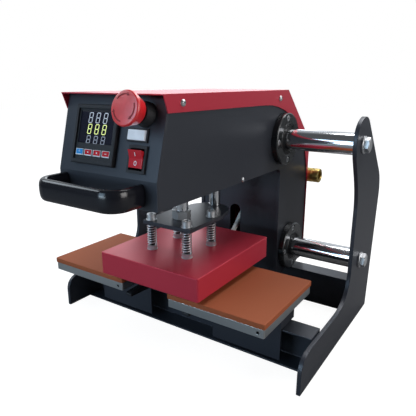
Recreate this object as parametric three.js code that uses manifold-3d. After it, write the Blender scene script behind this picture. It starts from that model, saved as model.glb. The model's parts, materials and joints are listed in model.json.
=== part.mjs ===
// Twin-station pneumatic heat press for labels and small garments.
// Millimetres, +Z up, +X to the operator's right, +Y away from the operator.
// The model is laid out from the front of the feet (Y = 0) and the middle of the frame (X = 0),
// then shifted so that the origin is the bottom centre of its bounding box.
import * as THREE from 'three';
import { mergeVertices } from 'three/addons/utils/BufferGeometryUtils.js';
import Module from 'manifold-3d';

const wasm = await Module();
wasm.setup();

// ---------- driving dimensions ----------
const GAP = 0.3;                     // clearance between pieces that touch
const SEGMENTS = 20;                 // facets round a small turned piece
const FINE = 32;                     // facets round a large turned piece

const FRAME = { half: 225.5, plate: 6 };
const INNER = FRAME.half - FRAME.plate;              // inner face of each side plate
const SHAFT = { dia: 33, upper: [192, 304], lower: [234, 111] };
const SHAFT_BOLT = { dia: 12, flats: 20, head: 7.5, washer: 26, washerT: 2.5, reach: 18 };
const FRONT_RAIL = { y0: 46, y1: 80, top: 58, wall: 3 };
const REAR_RAIL = { y0: 255, y1: 287, top: 59.5, wall: 3 };

const STATION = { x: 117, y: 33, side: 150, padZ: [105.3, 113], plateZ: [93, 105], plateSide: 148 };
const BRACKET = { x: 119, half: 57, wall: 3, front: 42.7, back: 88, bottom: 10 };
const LEVER = { y: 54, z: 74, hub: 7, length: 72, width: 12, gapX: 1 };

const HEAD = {
  x: 19.5, half: 80, cover: 1.5, plate: 6, top: 380, armBottom: 256, columnFront: 188,
  columnBottom: 66, rear: 305, coverFront: -107, chamferTop: 204, chamferBottom: 290, innerRadius: 9,
};
const COVER_IN = HEAD.half - HEAD.cover;             // inner face of the cover's side bands
const PLATE_OUT = COVER_IN - GAP;                    // outer face of the head's side plates
const PLATE_IN = PLATE_OUT - HEAD.plate;
const BETWEEN = PLATE_IN - GAP;                      // half width of what fits between them
const BEARING = { flange: 82, flangeT: 10, body: 52, length: 60, bore: SHAFT.dia + 0.9 };
const PANEL = { y: -120, z: 289, bottom: 256, wall: 2, rise: 89.2, run: 24.3 };
const PANEL_TILT = Math.atan2(PANEL.run, PANEL.rise);
const MOUNT = { z0: 258, z1: 266 };
const SLOT = { x: 13, width: 21, bottom: 125, top: 183 };

const PLATEN = { w: 171, y0: -57, y1: 135, z0: 122.5, z1: 155.5 };
const SPREADER = { half: 42, front: -13, square: 68, tongueY: 88, tongueR: 36, z0: 194, z1: 200 };
const ROD = { y: 24.5, dia: 20, thread: 16, flats: 24, nut: 12.4, top: 300, piston: 62 };
const GUIDE = { y: 113, dia: 18.5, top: 345 };
const BOLTS = { x: 31.5, y: 24.5, dy: 30.5, dia: 8, head: 13, headH: 8, washer: 16, washerT: 1.6, nut: 13, nutH: 6.5 };
const SPRING = { inner: 11.2, outer: 14.4 };
const CYLINDER = { dia: 75, bore: 63, z1: 345 };

const HANDLE = { x: -5.5, half: 67.5, front: -168, section: 12, height: 26, z: 272.5, corner: 24, bevel: 3 };
const CONTROLLER = { x: -20, z: 44.5, side: 70, proud: 6, body: 66, deep: 60 };
const KEYS = { z: 23, w: 12.4, h: 7.6, first: -41.6, pitch: 14.5 };
const STOP = { x: 51, z: 71, cap: 39, capBack: 17.4, capFront: 36, collar: 28, collarTop: 12, stem: 16 };
const LAMP = { x: 43.5, z: 48.3, w: 25, h: 11.5, rimW: 30, rimH: 15.4 };
const ROCKER = { x: 47.5, z: 22, w: 19.4, h: 21, rimW: 26, rimH: 31 };
const FITTING = { x0: 74, x1: 118, y: 320, z: 224, dia: 26, bore: 16 };
const CABLE_DIA = 8.5;

// ---------- materials ----------
const finish = (color, roughness, metalness) => new THREE.MeshStandardMaterial({ color, roughness, metalness });
const blackPaint = finish(0x23262b, 0.5, 0.1);
const redPaint = finish(0xb8273c, 0.45, 0.1);
const chrome = finish(0xd8dade, 0.12, 1);
const zinc = finish(0xb9bcc0, 0.35, 1);
const aluminium = finish(0xa3a7a8, 0.45, 0.9);
const silicone = finish(0x96441f, 0.75, 0);
const glossPlastic = finish(0x0d0e10, 0.15, 0);
const mattPlastic = finish(0x17181b, 0.55, 0);
const redPlastic = finish(0xc8202f, 0.3, 0);
const whitePlastic = finish(0xe8edf2, 0.3, 0);
const bluePlastic = finish(0x2b8fd8, 0.35, 0);
const brass = finish(0xb79a4a, 0.3, 1);
const glass = finish(0x0b1020, 0.08, 0);
const cableSkin = finish(0xe6e6e2, 0.6, 0);

// ---------- geometry helpers ----------
const model = new THREE.Group();

function add(name, geometry, material, parent = model) {
  const mesh = new THREE.Mesh(geometry, material);
  mesh.name = name;
  parent.add(mesh);
  return mesh;
}

function solid(geometry) {
  const bare = geometry.index ? geometry.toNonIndexed() : geometry.clone();
  bare.deleteAttribute('normal');
  bare.deleteAttribute('uv');
  const merged = mergeVertices(bare, 1e-4);
  return new wasm.Manifold(new wasm.Mesh({
    numProp: 3,
    vertProperties: Float32Array.from(merged.attributes.position.array),
    triVerts: Uint32Array.from(merged.index.array),
  }));
}

function geometryOf(body) {
  const mesh = body.getMesh();
  const geometry = new THREE.BufferGeometry();
  geometry.setAttribute('position', new THREE.BufferAttribute(Float32Array.from(mesh.vertProperties), 3));
  geometry.setIndex(Array.from(mesh.triVerts));
  geometry.computeVertexNormals();
  return geometry;
}

const cut = (body, ...tools) => geometryOf(tools.reduce((left, tool) => left.subtract(solid(tool)), solid(body)));
const join = (body, ...more) => geometryOf(more.reduce((sum, piece) => sum.add(solid(piece)), solid(body)));

// A box from its two opposite corners.
function block(x0, x1, y0, y1, z0, z1) {
  return new THREE.BoxGeometry(x1 - x0, y1 - y0, z1 - z0)
    .translate((x0 + x1) / 2, (y0 + y1) / 2, (z0 + z1) / 2);
}

// An outline drawn in (Y, Z), from x0 to x1.
function alongX(outline, x0, x1, steps = 8) {
  return new THREE.ExtrudeGeometry(outline, { depth: x1 - x0, bevelEnabled: false, curveSegments: steps })
    .applyMatrix4(new THREE.Matrix4().set(0, 0, 1, x0, 1, 0, 0, 0, 0, 1, 0, 0, 0, 0, 0, 1));
}

// An outline drawn in (X, Z), from y0 to y1.
function alongY(outline, y0, y1, steps = 8) {
  return new THREE.ExtrudeGeometry(outline, { depth: y1 - y0, bevelEnabled: false, curveSegments: steps })
    .rotateX(Math.PI / 2).translate(0, y1, 0);
}

// An outline drawn in (X, Y), from z0 to z1.
function alongZ(outline, z0, z1, steps = 8) {
  return new THREE.ExtrudeGeometry(outline, { depth: z1 - z0, bevelEnabled: false, curveSegments: steps })
    .translate(0, 0, z0);
}

// A profile of [radius, height] points turned about +Z.
function turnedZ(profile, segments = SEGMENTS) {
  return new THREE.LatheGeometry(profile.map(([r, h]) => new THREE.Vector2(r, h)), segments).rotateX(Math.PI / 2);
}

const turnedX = (profile, segments) => turnedZ(profile, segments).rotateY(Math.PI / 2);
const turnedOut = (profile, segments) => turnedZ(profile, segments).rotateX(Math.PI / 2);   // towards -Y
const bar = (radius, z0, z1, segments) => turnedZ([[0, z0], [radius, z0], [radius, z1], [0, z1]], segments);
const tube = (inner, outer, z0, z1, segments) =>
  turnedZ([[inner, z0], [outer, z0], [outer, z1], [inner, z1], [inner, z0]], segments);
const barX = (radius, x0, x1, segments) => bar(radius, x0, x1, segments).rotateY(Math.PI / 2);

function hexagon(flats) {
  const radius = flats / Math.sqrt(3);
  const corners = Array.from({ length: 6 }, (_, i) => new THREE.Vector2(
    radius * Math.cos(i * Math.PI / 3), radius * Math.sin(i * Math.PI / 3)));
  return new THREE.Shape(corners);
}

function roundedRectangle(x0, x1, y0, y1, r) {
  const s = new THREE.Shape();
  s.moveTo(x0 + r, y0).lineTo(x1 - r, y0).absarc(x1 - r, y0 + r, r, -Math.PI / 2, 0, false);
  s.lineTo(x1, y1 - r).absarc(x1 - r, y1 - r, r, 0, Math.PI / 2, false);
  s.lineTo(x0 + r, y1).absarc(x0 + r, y1 - r, r, Math.PI / 2, Math.PI, false);
  s.lineTo(x0, y0 + r).absarc(x0 + r, y0 + r, r, Math.PI, Math.PI * 1.5, false);
  return s;
}

function circle(x, y, r) {
  const path = new THREE.Path();
  path.absarc(x, y, r, 0, Math.PI * 2, false);
  return path;
}

const polygon = (points) => new THREE.Shape(points.map(([a, b]) => new THREE.Vector2(a, b)));

// ---------- frame: side plates, rails and shafts ----------
function sidePlateOutline() {
  const s = new THREE.Shape();
  s.moveTo(0, 0).lineTo(0, 30).quadraticCurveTo(1, 53, 30, 54);
  s.lineTo(130, 54).quadraticCurveTo(185, 54, 190, 100);
  s.lineTo(191, 205).quadraticCurveTo(190, 230, 178, 255);
  s.lineTo(162, 287).quadraticCurveTo(148, 335, 190, 344);
  s.quadraticCurveTo(206, 345, 216, 336).lineTo(306, 248);
  s.quadraticCurveTo(321, 232, 321, 205).lineTo(302, 0);
  s.holes = [SHAFT.upper, SHAFT.lower].map(([y, z]) => circle(y, z, SHAFT_BOLT.dia / 2 + GAP));
  return s;
}

function shaft([y, z]) {
  const end = INNER - GAP;
  const r = SHAFT.dia / 2;
  const hole = SHAFT_BOLT.dia / 2 + GAP;
  const depth = SHAFT_BOLT.reach + 4;
  const profile = [[0, -end + depth], [hole, -end + depth], [hole, -end], [r - 1, -end], [r, -end + 1],
    [r, end - 1], [r - 1, end], [hole, end], [hole, end - depth], [0, end - depth]];
  return turnedX(profile, FINE).translate(0, y, z);
}

// A hex bolt with its washer, seen from outside the plate; side is +1 right, -1 left.
function shaftBolt([y, z], side) {
  const { dia, flats, head, washer, washerT, reach } = SHAFT_BOLT;
  const face = FRAME.half + GAP;
  const shank = bar(dia / 2, face - FRAME.plate - reach, face + 1, 24);
  const disc = bar(washer / 2, face, face + washerT, SEGMENTS);
  const hex = alongZ(hexagon(flats), face + washerT - 0.5, face + washerT + head);
  return join(shank, disc, hex).rotateY(side * Math.PI / 2).translate(0, y, z);
}

function channel({ y0, y1, top, wall }, openFront) {
  const web = openFront ? [y1 - wall, y1] : [y0, y0 + wall];
  const half = INNER - GAP;
  return join(block(-half, half, web[0], web[1], 0, top),
    block(-half, half, y0, y1, top - wall, top), block(-half, half, y0, y1, 0, wall));
}

for (const [side, name] of [[-1, 'left'], [1, 'right']]) {
  const [x0, x1] = side < 0 ? [-FRAME.half, -INNER] : [INNER, FRAME.half];
  add(`${name}_side_plate`, alongX(sidePlateOutline(), x0, x1, 8), blackPaint);
  add(`upper_shaft_bolt_${name}`, shaftBolt(SHAFT.upper, side), zinc);
  add(`lower_shaft_bolt_${name}`, shaftBolt(SHAFT.lower, side), zinc);
}
add('front_rail', channel(FRONT_RAIL, true), blackPaint);
add('rear_rail', channel(REAR_RAIL, false), blackPaint);
add('upper_shaft', shaft(SHAFT.upper), chrome);
add('lower_shaft', shaft(SHAFT.lower), chrome);

// ---------- the two lower stations ----------
function bracket(side) {
  const { half, wall, front, back, bottom } = BRACKET;
  const x = side * BRACKET.x;
  const top = STATION.plateZ[0] - GAP;
  const overRail = FRONT_RAIL.top + GAP;
  return join(block(x - half, x + half, front, front + wall, bottom, top),
    block(x - half, x + half, front, back, top - wall, top),
    block(x - half, x - half + wall, front, back, overRail, top),
    block(x + half - wall, x + half, front, back, overRail, top));
}

function lowerPlaten(side) {
  const half = STATION.plateSide / 2;
  const [z0, z1] = STATION.plateZ;
  const x = side * STATION.x;
  const slab = alongZ(roundedRectangle(x - half, x + half, STATION.y - half, STATION.y + half, 2), z0, z1, 3);
  const probe = bar(2, 0, 16, 12).rotateX(-Math.PI / 2)
    .translate(x + half - 9, STATION.y - half - 1, (z0 + z1) / 2);
  return cut(slab, probe);
}

// A tapered lever on a horizontal pivot beside the bracket, pointing forwards.
function lockLever(side) {
  const { y, z, hub, length, width } = LEVER;
  const s = new THREE.Shape();
  s.absarc(0, 0, hub, -Math.PI * 0.62, Math.PI * 0.62, false);
  s.quadraticCurveTo(-22, 5, -length + 3, 3).absarc(-length + 3, 0, 3, Math.PI / 2, Math.PI * 1.5, false);
  s.quadraticCurveTo(-22, -5, hub * Math.cos(-Math.PI * 0.62), hub * Math.sin(-Math.PI * 0.62));
  const inner = BRACKET.x - BRACKET.half;
  const x0 = side * inner - (side > 0 ? LEVER.gapX + width : -LEVER.gapX);
  return alongX(s, 0, width, 8).translate(x0, y, z);
}

for (const [side, name] of [[-1, 'left'], [1, 'right']]) {
  const half = STATION.side / 2;
  add(`${name}_bracket`, bracket(side), blackPaint);
  add(`${name}_lower_platen`, lowerPlaten(side), aluminium);
  add(`${name}_silicone_pad`, alongZ(roundedRectangle(side * STATION.x - half, side * STATION.x + half,
    STATION.y - half, STATION.y + half, 2), STATION.padZ[0], STATION.padZ[1], 3), silicone);
  add(`${name}_lock_lever`, lockLever(side), mattPlastic);
}

// ---------- sliding head: side plates, cover, column ----------
const head = new THREE.Group();
head.position.x = HEAD.x;
model.add(head);

function headPlateOutline() {
  const { armBottom, columnFront, columnBottom, innerRadius: r } = HEAD;
  const front = PANEL.y + PANEL.wall + GAP;
  const back = HEAD.rear - HEAD.cover - GAP;
  const s = new THREE.Shape();
  s.moveTo(front, armBottom).lineTo(columnFront - r, armBottom);
  s.absarc(columnFront - r, armBottom - r, r, Math.PI / 2, 0, true);
  s.lineTo(columnFront, columnBottom).lineTo(back, columnBottom).lineTo(back, HEAD.chamferBottom - 0.9);
  s.lineTo(HEAD.chamferTop - 0.8, HEAD.top - HEAD.cover - GAP);
  s.lineTo(front + PANEL.run + 0.2, HEAD.top - HEAD.cover - GAP).lineTo(front, PANEL.z);
  s.holes = [SHAFT.upper, SHAFT.lower].map(([y, z]) => circle(y, z, BEARING.body / 2 + 3 * GAP));
  return s;
}

function coverBandOutline() {
  const { top, rear, coverFront, chamferTop, chamferBottom } = HEAD;
  const s = new THREE.Shape();
  s.moveTo(coverFront, top).lineTo(coverFront + 7, 360).lineTo(127, 359);
  s.bezierCurveTo(215, 359, rear - 1.5, 305, rear - 1.5, 200);
  s.lineTo(rear, 200).lineTo(rear, chamferBottom).lineTo(chamferTop, top);
  return s;
}

function cover() {
  const { top, rear, coverFront, chamferTop, chamferBottom, half, cover: t } = HEAD;
  const sheet = polygon([[coverFront, top], [coverFront, top - t], [chamferTop - 0.6, top - t],
    [rear - t, chamferBottom - 0.7], [rear - t, HEAD.columnBottom + 4], [rear, HEAD.columnBottom + 4],
    [rear, chamferBottom], [chamferTop, top]]);
  return join(alongX(sheet, -half, half),
    alongX(coverBandOutline(), COVER_IN, half, 12), alongX(coverBandOutline(), -half, -COVER_IN, 12));
}

function bearing([y, z], side) {
  const { flange, flangeT, body, length, bore } = BEARING;
  const face = PLATE_OUT + GAP;
  const profile = [[bore / 2, face - length], [body / 2, face - length], [body / 2, face], [flange / 2, face],
    [flange / 2, face + flangeT - 1], [flange / 2 - 1, face + flangeT], [body / 2 - 3, face + flangeT],
    [body / 2 - 3, face + flangeT - 2], [bore / 2, face + flangeT - 2], [bore / 2, face - length]];
  return turnedZ(profile, FINE).rotateY(side * Math.PI / 2).translate(0, y, z);
}

for (const [side, name] of [[-1, 'left'], [1, 'right']]) {
  const [x0, x1] = side < 0 ? [-PLATE_OUT, -PLATE_IN] : [PLATE_IN, PLATE_OUT];
  add(`head_${name}_plate`, alongX(headPlateOutline(), x0, x1), blackPaint, head);
  add(`upper_bearing_${name}`, bearing(SHAFT.upper, side), zinc, head);
  add(`lower_bearing_${name}`, bearing(SHAFT.lower, side), zinc, head);
}
add('head_cover', cover(), redPaint, head);

const columnY = HEAD.columnFront + 2;
const columnOutline = roundedRectangle(-BETWEEN, BETWEEN, HEAD.columnBottom, MOUNT.z0 - GAP, 1);
const slotR = SLOT.width / 2;
const slotX = SLOT.x - HEAD.x;
const slot = new THREE.Path();
slot.moveTo(slotX + slotR, SLOT.bottom + slotR);
slot.absarc(slotX, SLOT.bottom + slotR, slotR, 0, -Math.PI, true);
slot.absarc(slotX, SLOT.top - slotR, slotR, Math.PI, 0, true);
columnOutline.holes = [slot];
add('column_front_plate', alongY(columnOutline, columnY, columnY + 3), blackPaint, head);

// Floor of the arm, which carries the cylinder and the guide bush.
const mountOutline = roundedRectangle(-BETWEEN, BETWEEN, PANEL.y + PANEL.wall + 3, HEAD.columnFront + 5, 1);
mountOutline.holes = [circle(0, ROD.y, ROD.dia / 2 + 1), circle(0, GUIDE.y, 14.4)];
add('cylinder_mount_plate', alongZ(mountOutline, MOUNT.z0, MOUNT.z1), blackPaint, head);

const cylinderFoot = MOUNT.z1 + GAP;
add('air_cylinder', turnedZ([[ROD.dia / 2 + 0.5, cylinderFoot], [CYLINDER.dia / 2, cylinderFoot],
  [CYLINDER.dia / 2, CYLINDER.z1], [0, CYLINDER.z1], [0, CYLINDER.z1 - 8],
  [CYLINDER.bore / 2, CYLINDER.z1 - 8], [CYLINDER.bore / 2, cylinderFoot + 9],
  [ROD.dia / 2 + 0.5, cylinderFoot + 9], [ROD.dia / 2 + 0.5, cylinderFoot]]).translate(0, ROD.y, 0), aluminium, head);
add('guide_bush', turnedZ([[GUIDE.dia / 2 + 0.3, 253], [19, 253], [19, MOUNT.z0 - GAP], [14, MOUNT.z0 - GAP],
  [14, 292], [GUIDE.dia / 2 + 0.3, 292], [GUIDE.dia / 2 + 0.3, 253]]).translate(0, GUIDE.y, 0), zinc, head);

// Brass air inlet on the back of the head: a hollow barrel along +X on a short boss.
const barrel = turnedX([[0, FITTING.x0], [FITTING.dia / 2, FITTING.x0], [FITTING.dia / 2, FITTING.x1],
  [FITTING.bore / 2, FITTING.x1], [FITTING.bore / 2, FITTING.x1 - 12], [0, FITTING.x1 - 12]]);
const boss = bar(7, 0, FITTING.y - HEAD.rear - GAP, 24).rotateX(-Math.PI / 2)
  .translate(FITTING.x0 + 12, HEAD.rear + GAP - FITTING.y, 0);
add('air_inlet', join(barrel, boss).translate(-HEAD.x, FITTING.y, FITTING.z), brass, head);

// ---------- control panel ----------
// Pieces on the sloping face hang in this group: local X along the panel, local Z up the slope,
// and local -Y straight out of it.
const fascia = new THREE.Group();
fascia.position.set(0, PANEL.y, PANEL.z);
fascia.rotation.x = -PANEL_TILT;
head.add(fascia);
const onSlope = (geometry) => geometry.applyMatrix4(
  new THREE.Matrix4().makeTranslation(0, PANEL.y, PANEL.z).multiply(new THREE.Matrix4().makeRotationX(-PANEL_TILT)));

function centred(item, w, h, out, inside) {
  return block(item.x - w / 2, item.x + w / 2, -out, inside, item.z - h / 2, item.z + h / 2);
}

function controlPanel() {
  const { y, z, bottom, wall, rise, run } = PANEL;
  const bend = wall * Math.tan(PANEL_TILT / 2);
  const sheet = polygon([[y, bottom], [y + wall, bottom], [y + wall, z + bend],
    [y + wall + run, z + rise], [y + run, z + rise], [y, z]]);
  const opening = (item, w, h) => onSlope(centred(item, w + 0.8, h + 0.8, 10, 10));
  return cut(alongX(sheet, -PLATE_OUT, PLATE_OUT),
    opening(CONTROLLER, CONTROLLER.body, CONTROLLER.body), opening(LAMP, LAMP.rimW - 3, LAMP.rimH - 2.4),
    opening(ROCKER, ROCKER.rimW - 3, ROCKER.rimH - 3),
    onSlope(bar(11.5, -10, 10, SEGMENTS).rotateX(Math.PI / 2).translate(STOP.x, 0, STOP.z)));
}
add('control_panel', controlPanel(), blackPaint, head);

// A rimmed box let into the panel, with a pocket in its face for the piece that moves in it.
function rimmedBox(item, rimW, rimH, bodyW, bodyH, proud, deep, pockets) {
  return cut(join(centred(item, rimW, rimH, proud, -GAP), centred(item, bodyW, bodyH, GAP + 0.2, deep)), ...pockets);
}

const display = { x: CONTROLLER.x, z: CONTROLLER.z + 8.5 };
const keys = Array.from({ length: 4 }, (_, i) => ({ x: KEYS.first + i * KEYS.pitch, z: KEYS.z }));
add('controller_case', rimmedBox(CONTROLLER, CONTROLLER.side, CONTROLLER.side, CONTROLLER.body, CONTROLLER.body,
  CONTROLLER.proud, CONTROLLER.deep, [
    centred(CONTROLLER, 60, 60, CONTROLLER.proud + 1, -CONTROLLER.proud + 2.5),
    centred(display, 56, 38, CONTROLLER.proud + 1, -0.4),
    ...keys.map((key) => centred(key, KEYS.w + 0.8, KEYS.h + 0.8, CONTROLLER.proud + 1, 3))]), mattPlastic, fascia);
add('controller_window', centred(display, 55.2, 37.2, 3.2, -0.8), glass, fascia);
keys.forEach((key, i) => add(`controller_key_${i + 1}`,
  centred(key, KEYS.w, KEYS.h, 4.8, 1), i === 0 ? bluePlastic : redPlastic, fascia));

add('stop_collar', turnedOut([[STOP.stem / 2 + 0.5, -24], [11, -24], [11, GAP], [STOP.collar / 2, GAP],
  [STOP.collar / 2, 4], [STOP.collar / 2 - 3, STOP.collarTop], [STOP.stem / 2 + 0.5, STOP.collarTop],
  [STOP.stem / 2 + 0.5, -24]]).translate(STOP.x, 0, STOP.z), mattPlastic, fascia);
add('stop_stem', turnedOut([[0, -27], [STOP.stem / 2, -27], [STOP.stem / 2, STOP.capBack - GAP],
  [0, STOP.capBack - GAP]]).translate(STOP.x, 0, STOP.z), mattPlastic, fascia);
add('stop_button', turnedOut([[0, STOP.capBack], [STOP.cap / 2 - 5, STOP.capBack],
  [STOP.cap / 2 - 1, STOP.capFront - 6], [STOP.cap / 2, STOP.capFront - 4], [STOP.cap / 2 - 1, STOP.capFront - 2],
  [STOP.cap / 2 - 4, STOP.capFront - 0.5], [0, STOP.capFront]], FINE).translate(STOP.x, 0, STOP.z), redPlastic, fascia);

add('lamp_rim', rimmedBox(LAMP, LAMP.rimW, LAMP.rimH, LAMP.rimW - 3.8, LAMP.rimH - 3.2, 2.4, 18,
  [centred(LAMP, LAMP.w + 0.8, LAMP.h + 0.8, 5, 6)]), mattPlastic, fascia);
add('lamp_button', centred(LAMP, LAMP.w, LAMP.h, 4.6, 2), whitePlastic, fascia);

add('rocker_rim', rimmedBox(ROCKER, ROCKER.rimW, ROCKER.rimH, ROCKER.rimW - 3.8, ROCKER.rimH - 3.8, 3, 24,
  [centred(ROCKER, ROCKER.w + 0.8, ROCKER.h + 3, 6, 14)]), mattPlastic, fascia);
// The rocker's section, with its lower half pressed in; it turns about its middle.
const paddle = polygon([[-3.5, -9.6], [6, -8.5], [8, 0], [6, 8.5], [-8.5, 9.9], [-4, 0.8]]);
add('power_rocker', alongX(paddle, ROCKER.x - ROCKER.w / 2, ROCKER.x + ROCKER.w / 2)
  .translate(0, 0, ROCKER.z), redPlastic, fascia);

// U handle on the straight lower front of the panel.
function handle() {
  const { half, front, section, height, corner, bevel } = HANDLE;
  const root = PANEL.y - GAP;
  const [x, inX] = [half - bevel, half - section + bevel];
  const [y, inY] = [front + bevel, front + section - bevel];
  const s = new THREE.Shape();
  s.moveTo(-x, root).lineTo(-x, y + corner).absarc(-x + corner, y + corner, corner, Math.PI, Math.PI * 1.5, false);
  s.lineTo(x - corner, y).absarc(x - corner, y + corner, corner, -Math.PI / 2, 0, false).lineTo(x, root);
  const r = corner - section + 2 * bevel;
  s.lineTo(inX, root).lineTo(inX, inY + r).absarc(inX - r, inY + r, r, 0, -Math.PI / 2, true);
  s.lineTo(-inX + r, inY).absarc(-inX + r, inY + r, r, -Math.PI / 2, -Math.PI, true).lineTo(-inX, root);
  const whole = new THREE.ExtrudeGeometry(s, { depth: height - 2 * bevel, bevelEnabled: true,
    bevelThickness: bevel, bevelSize: bevel, bevelSegments: 1, curveSegments: 5 })
    .translate(0, 0, HANDLE.z - height / 2 + bevel);
  return cut(whole, block(-half - 5, half + 5, root, root + 20, 200, 340)).translate(HANDLE.x, 0, 0);
}
add('handle', handle(), glossPlastic, head);

// ---------- press: rods, spreader, heated platen ----------
const press = new THREE.Group();
press.position.x = HEAD.x;
model.add(press);
const boltPlaces = [[-1, -1, 'front_left'], [1, -1, 'front_right'], [-1, 1, 'rear_left'], [1, 1, 'rear_right']]
  .map(([i, j, name]) => ({ x: i * BOLTS.x, y: BOLTS.y + j * BOLTS.dy, name }));

const spreader = new THREE.Shape();
spreader.moveTo(-SPREADER.half, SPREADER.front).lineTo(SPREADER.half, SPREADER.front);
spreader.lineTo(SPREADER.half, SPREADER.square).lineTo(SPREADER.tongueR, SPREADER.tongueY);
spreader.absarc(0, SPREADER.tongueY, SPREADER.tongueR, 0, Math.PI, false);
spreader.lineTo(-SPREADER.half, SPREADER.square);
spreader.holes = [circle(0, ROD.y, ROD.thread / 2 + GAP),
  ...boltPlaces.map(({ x, y }) => circle(x, y, BOLTS.dia / 2 + 0.7))];
add('spreader_plate', alongZ(spreader, SPREADER.z0, SPREADER.z1), blackPaint, press);

const shoulder = SPREADER.z1 + ROD.nut + 2 * GAP;
add('cylinder_rod', turnedZ([[0, SPREADER.z0 - 3], [ROD.thread / 2, SPREADER.z0 - 3], [ROD.thread / 2, shoulder],
  [ROD.dia / 2, shoulder], [ROD.dia / 2, ROD.top], [ROD.piston / 2, ROD.top], [ROD.piston / 2, ROD.top + 12],
  [0, ROD.top + 12]]).translate(0, ROD.y, 0), chrome, press);
const nutOutline = hexagon(ROD.flats);
nutOutline.holes = [circle(0, 0, ROD.thread / 2 + GAP)];
add('rod_nut', alongZ(nutOutline, SPREADER.z1 + GAP, SPREADER.z1 + GAP + ROD.nut).translate(0, ROD.y, 0), zinc, press);
add('guide_rod', turnedZ([[0, SPREADER.z1 + GAP], [GUIDE.dia / 2, SPREADER.z1 + GAP],
  [GUIDE.dia / 2, GUIDE.top - 2], [GUIDE.dia / 2 - 2, GUIDE.top], [0, GUIDE.top]])
  .translate(0, GUIDE.y, 0), chrome, press);

const threadDepth = 15;
const platenBlock = alongZ(roundedRectangle(-PLATEN.w / 2, PLATEN.w / 2, PLATEN.y0, PLATEN.y1, 2.5),
  PLATEN.z0, PLATEN.z1, 4);
add('heated_platen', cut(platenBlock, ...boltPlaces.map(({ x, y }) =>
  bar(BOLTS.dia / 2 + GAP, PLATEN.z1 - threadDepth - 1, PLATEN.z1 + 1, 16).translate(x, y, 0))), redPaint, press);

// A socket cap screw with its washer and, at the platen, its lock nut.
function platenBolt({ x, y }) {
  const { dia, head: headD, headH, washer, washerT, nut, nutH } = BOLTS;
  const seat = SPREADER.z1 + GAP;
  const foot = PLATEN.z1 + GAP;
  const body = join(bar(dia / 2, PLATEN.z1 - threadDepth, seat + 1, 16), bar(washer / 2, seat, seat + washerT, 24),
    bar(headD / 2, seat + washerT - 0.3, seat + washerT + headH, 24), alongZ(hexagon(nut), foot, foot + nutH));
  const socket = alongZ(hexagon(6), seat + washerT + headH - 4, seat + washerT + headH + 1);
  return cut(body, socket).translate(x, y, 0);
}

for (const place of boltPlaces) {
  add(`platen_bolt_${place.name}`, platenBolt(place), zinc, press);
  add(`platen_spring_${place.name}`, tube(SPRING.inner / 2, SPRING.outer / 2,
    PLATEN.z1 + GAP + BOLTS.nutH + GAP, SPREADER.z0 - GAP, 20).translate(place.x, place.y, 0), zinc, press);
}

// ---------- heater cable, from the back of the platen through the column slot ----------
const cableRoute = new THREE.CatmullRomCurve3([
  [18, PLATEN.y1 + GAP, 138], [18, 147, 138], [17, 160, 136], [15.5, 172, 134.5], [13.5, 184, 135.5],
  [12, 194, 140.5], [12.5, 201, 149], [16, 206, 160], [21, 209, 172], [26, 211, 184], [28, 212, 198], [28, 212, 212],
].map(([x, y, z]) => new THREE.Vector3(x, y, z)));
const cableSection = new THREE.Shape();
cableSection.absarc(0, 0, CABLE_DIA / 2, 0, Math.PI * 2, false);
add('heater_cable', new THREE.ExtrudeGeometry(cableSection,
  { steps: 22, curveSegments: 5, bevelEnabled: false, extrudePath: cableRoute }), cableSkin);

// ---------- origin at the bottom centre of the bounding box ----------
model.updateMatrixWorld(true);
const bounds = new THREE.Box3().setFromObject(model);
model.position.y = -(bounds.min.y + bounds.max.y) / 2;

export default model;
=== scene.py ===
import json
import math

import bmesh
import bpy
from bpy.props import FloatProperty, FloatVectorProperty, IntProperty, PointerProperty
from bpy.types import Operator, Panel, PropertyGroup
from mathutils import Matrix, Vector


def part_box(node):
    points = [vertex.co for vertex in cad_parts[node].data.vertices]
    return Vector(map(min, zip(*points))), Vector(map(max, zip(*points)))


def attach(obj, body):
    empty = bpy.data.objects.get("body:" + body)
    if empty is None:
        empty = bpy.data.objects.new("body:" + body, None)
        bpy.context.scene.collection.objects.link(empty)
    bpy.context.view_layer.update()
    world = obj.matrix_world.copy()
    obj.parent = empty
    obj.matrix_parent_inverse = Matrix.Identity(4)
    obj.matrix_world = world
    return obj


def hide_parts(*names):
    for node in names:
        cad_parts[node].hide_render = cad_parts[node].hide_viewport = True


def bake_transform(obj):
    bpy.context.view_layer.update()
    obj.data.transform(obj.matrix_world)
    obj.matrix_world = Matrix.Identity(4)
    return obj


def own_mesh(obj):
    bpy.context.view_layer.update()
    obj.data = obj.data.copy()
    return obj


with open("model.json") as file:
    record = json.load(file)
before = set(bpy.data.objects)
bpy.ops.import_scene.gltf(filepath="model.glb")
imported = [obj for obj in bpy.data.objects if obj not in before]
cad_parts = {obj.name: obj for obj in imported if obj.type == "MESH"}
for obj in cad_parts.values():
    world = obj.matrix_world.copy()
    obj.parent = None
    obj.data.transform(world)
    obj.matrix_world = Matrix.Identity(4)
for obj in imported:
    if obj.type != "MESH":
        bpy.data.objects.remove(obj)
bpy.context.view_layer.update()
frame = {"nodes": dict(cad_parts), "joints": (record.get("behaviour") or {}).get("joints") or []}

bl_info = {
    "name": "Twin-station heat press",
    "version": (1, 0, 0),
    "blender": (4, 5, 0),
    "location": "3D View > Sidebar > Heat press",
    "description": "Builds the pneumatic twin-station heat press, one group of pieces at a time",
    "category": "Object",
}

# ---------- the workshop frame ----------
# Pieces are modelled in millimetres from the front of the feet (Y = 0) and the middle of the
# frame (X = 0), and brought to metres in the model's own frame when they are finished.
MM = 0.001
TO_METRES = Matrix.Translation((0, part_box("left_side_plate")[0].y, 0)) @ Matrix.Scale(MM, 4)
TO_WORKSHOP = TO_METRES.inverted()
GAP = 0.3


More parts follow.
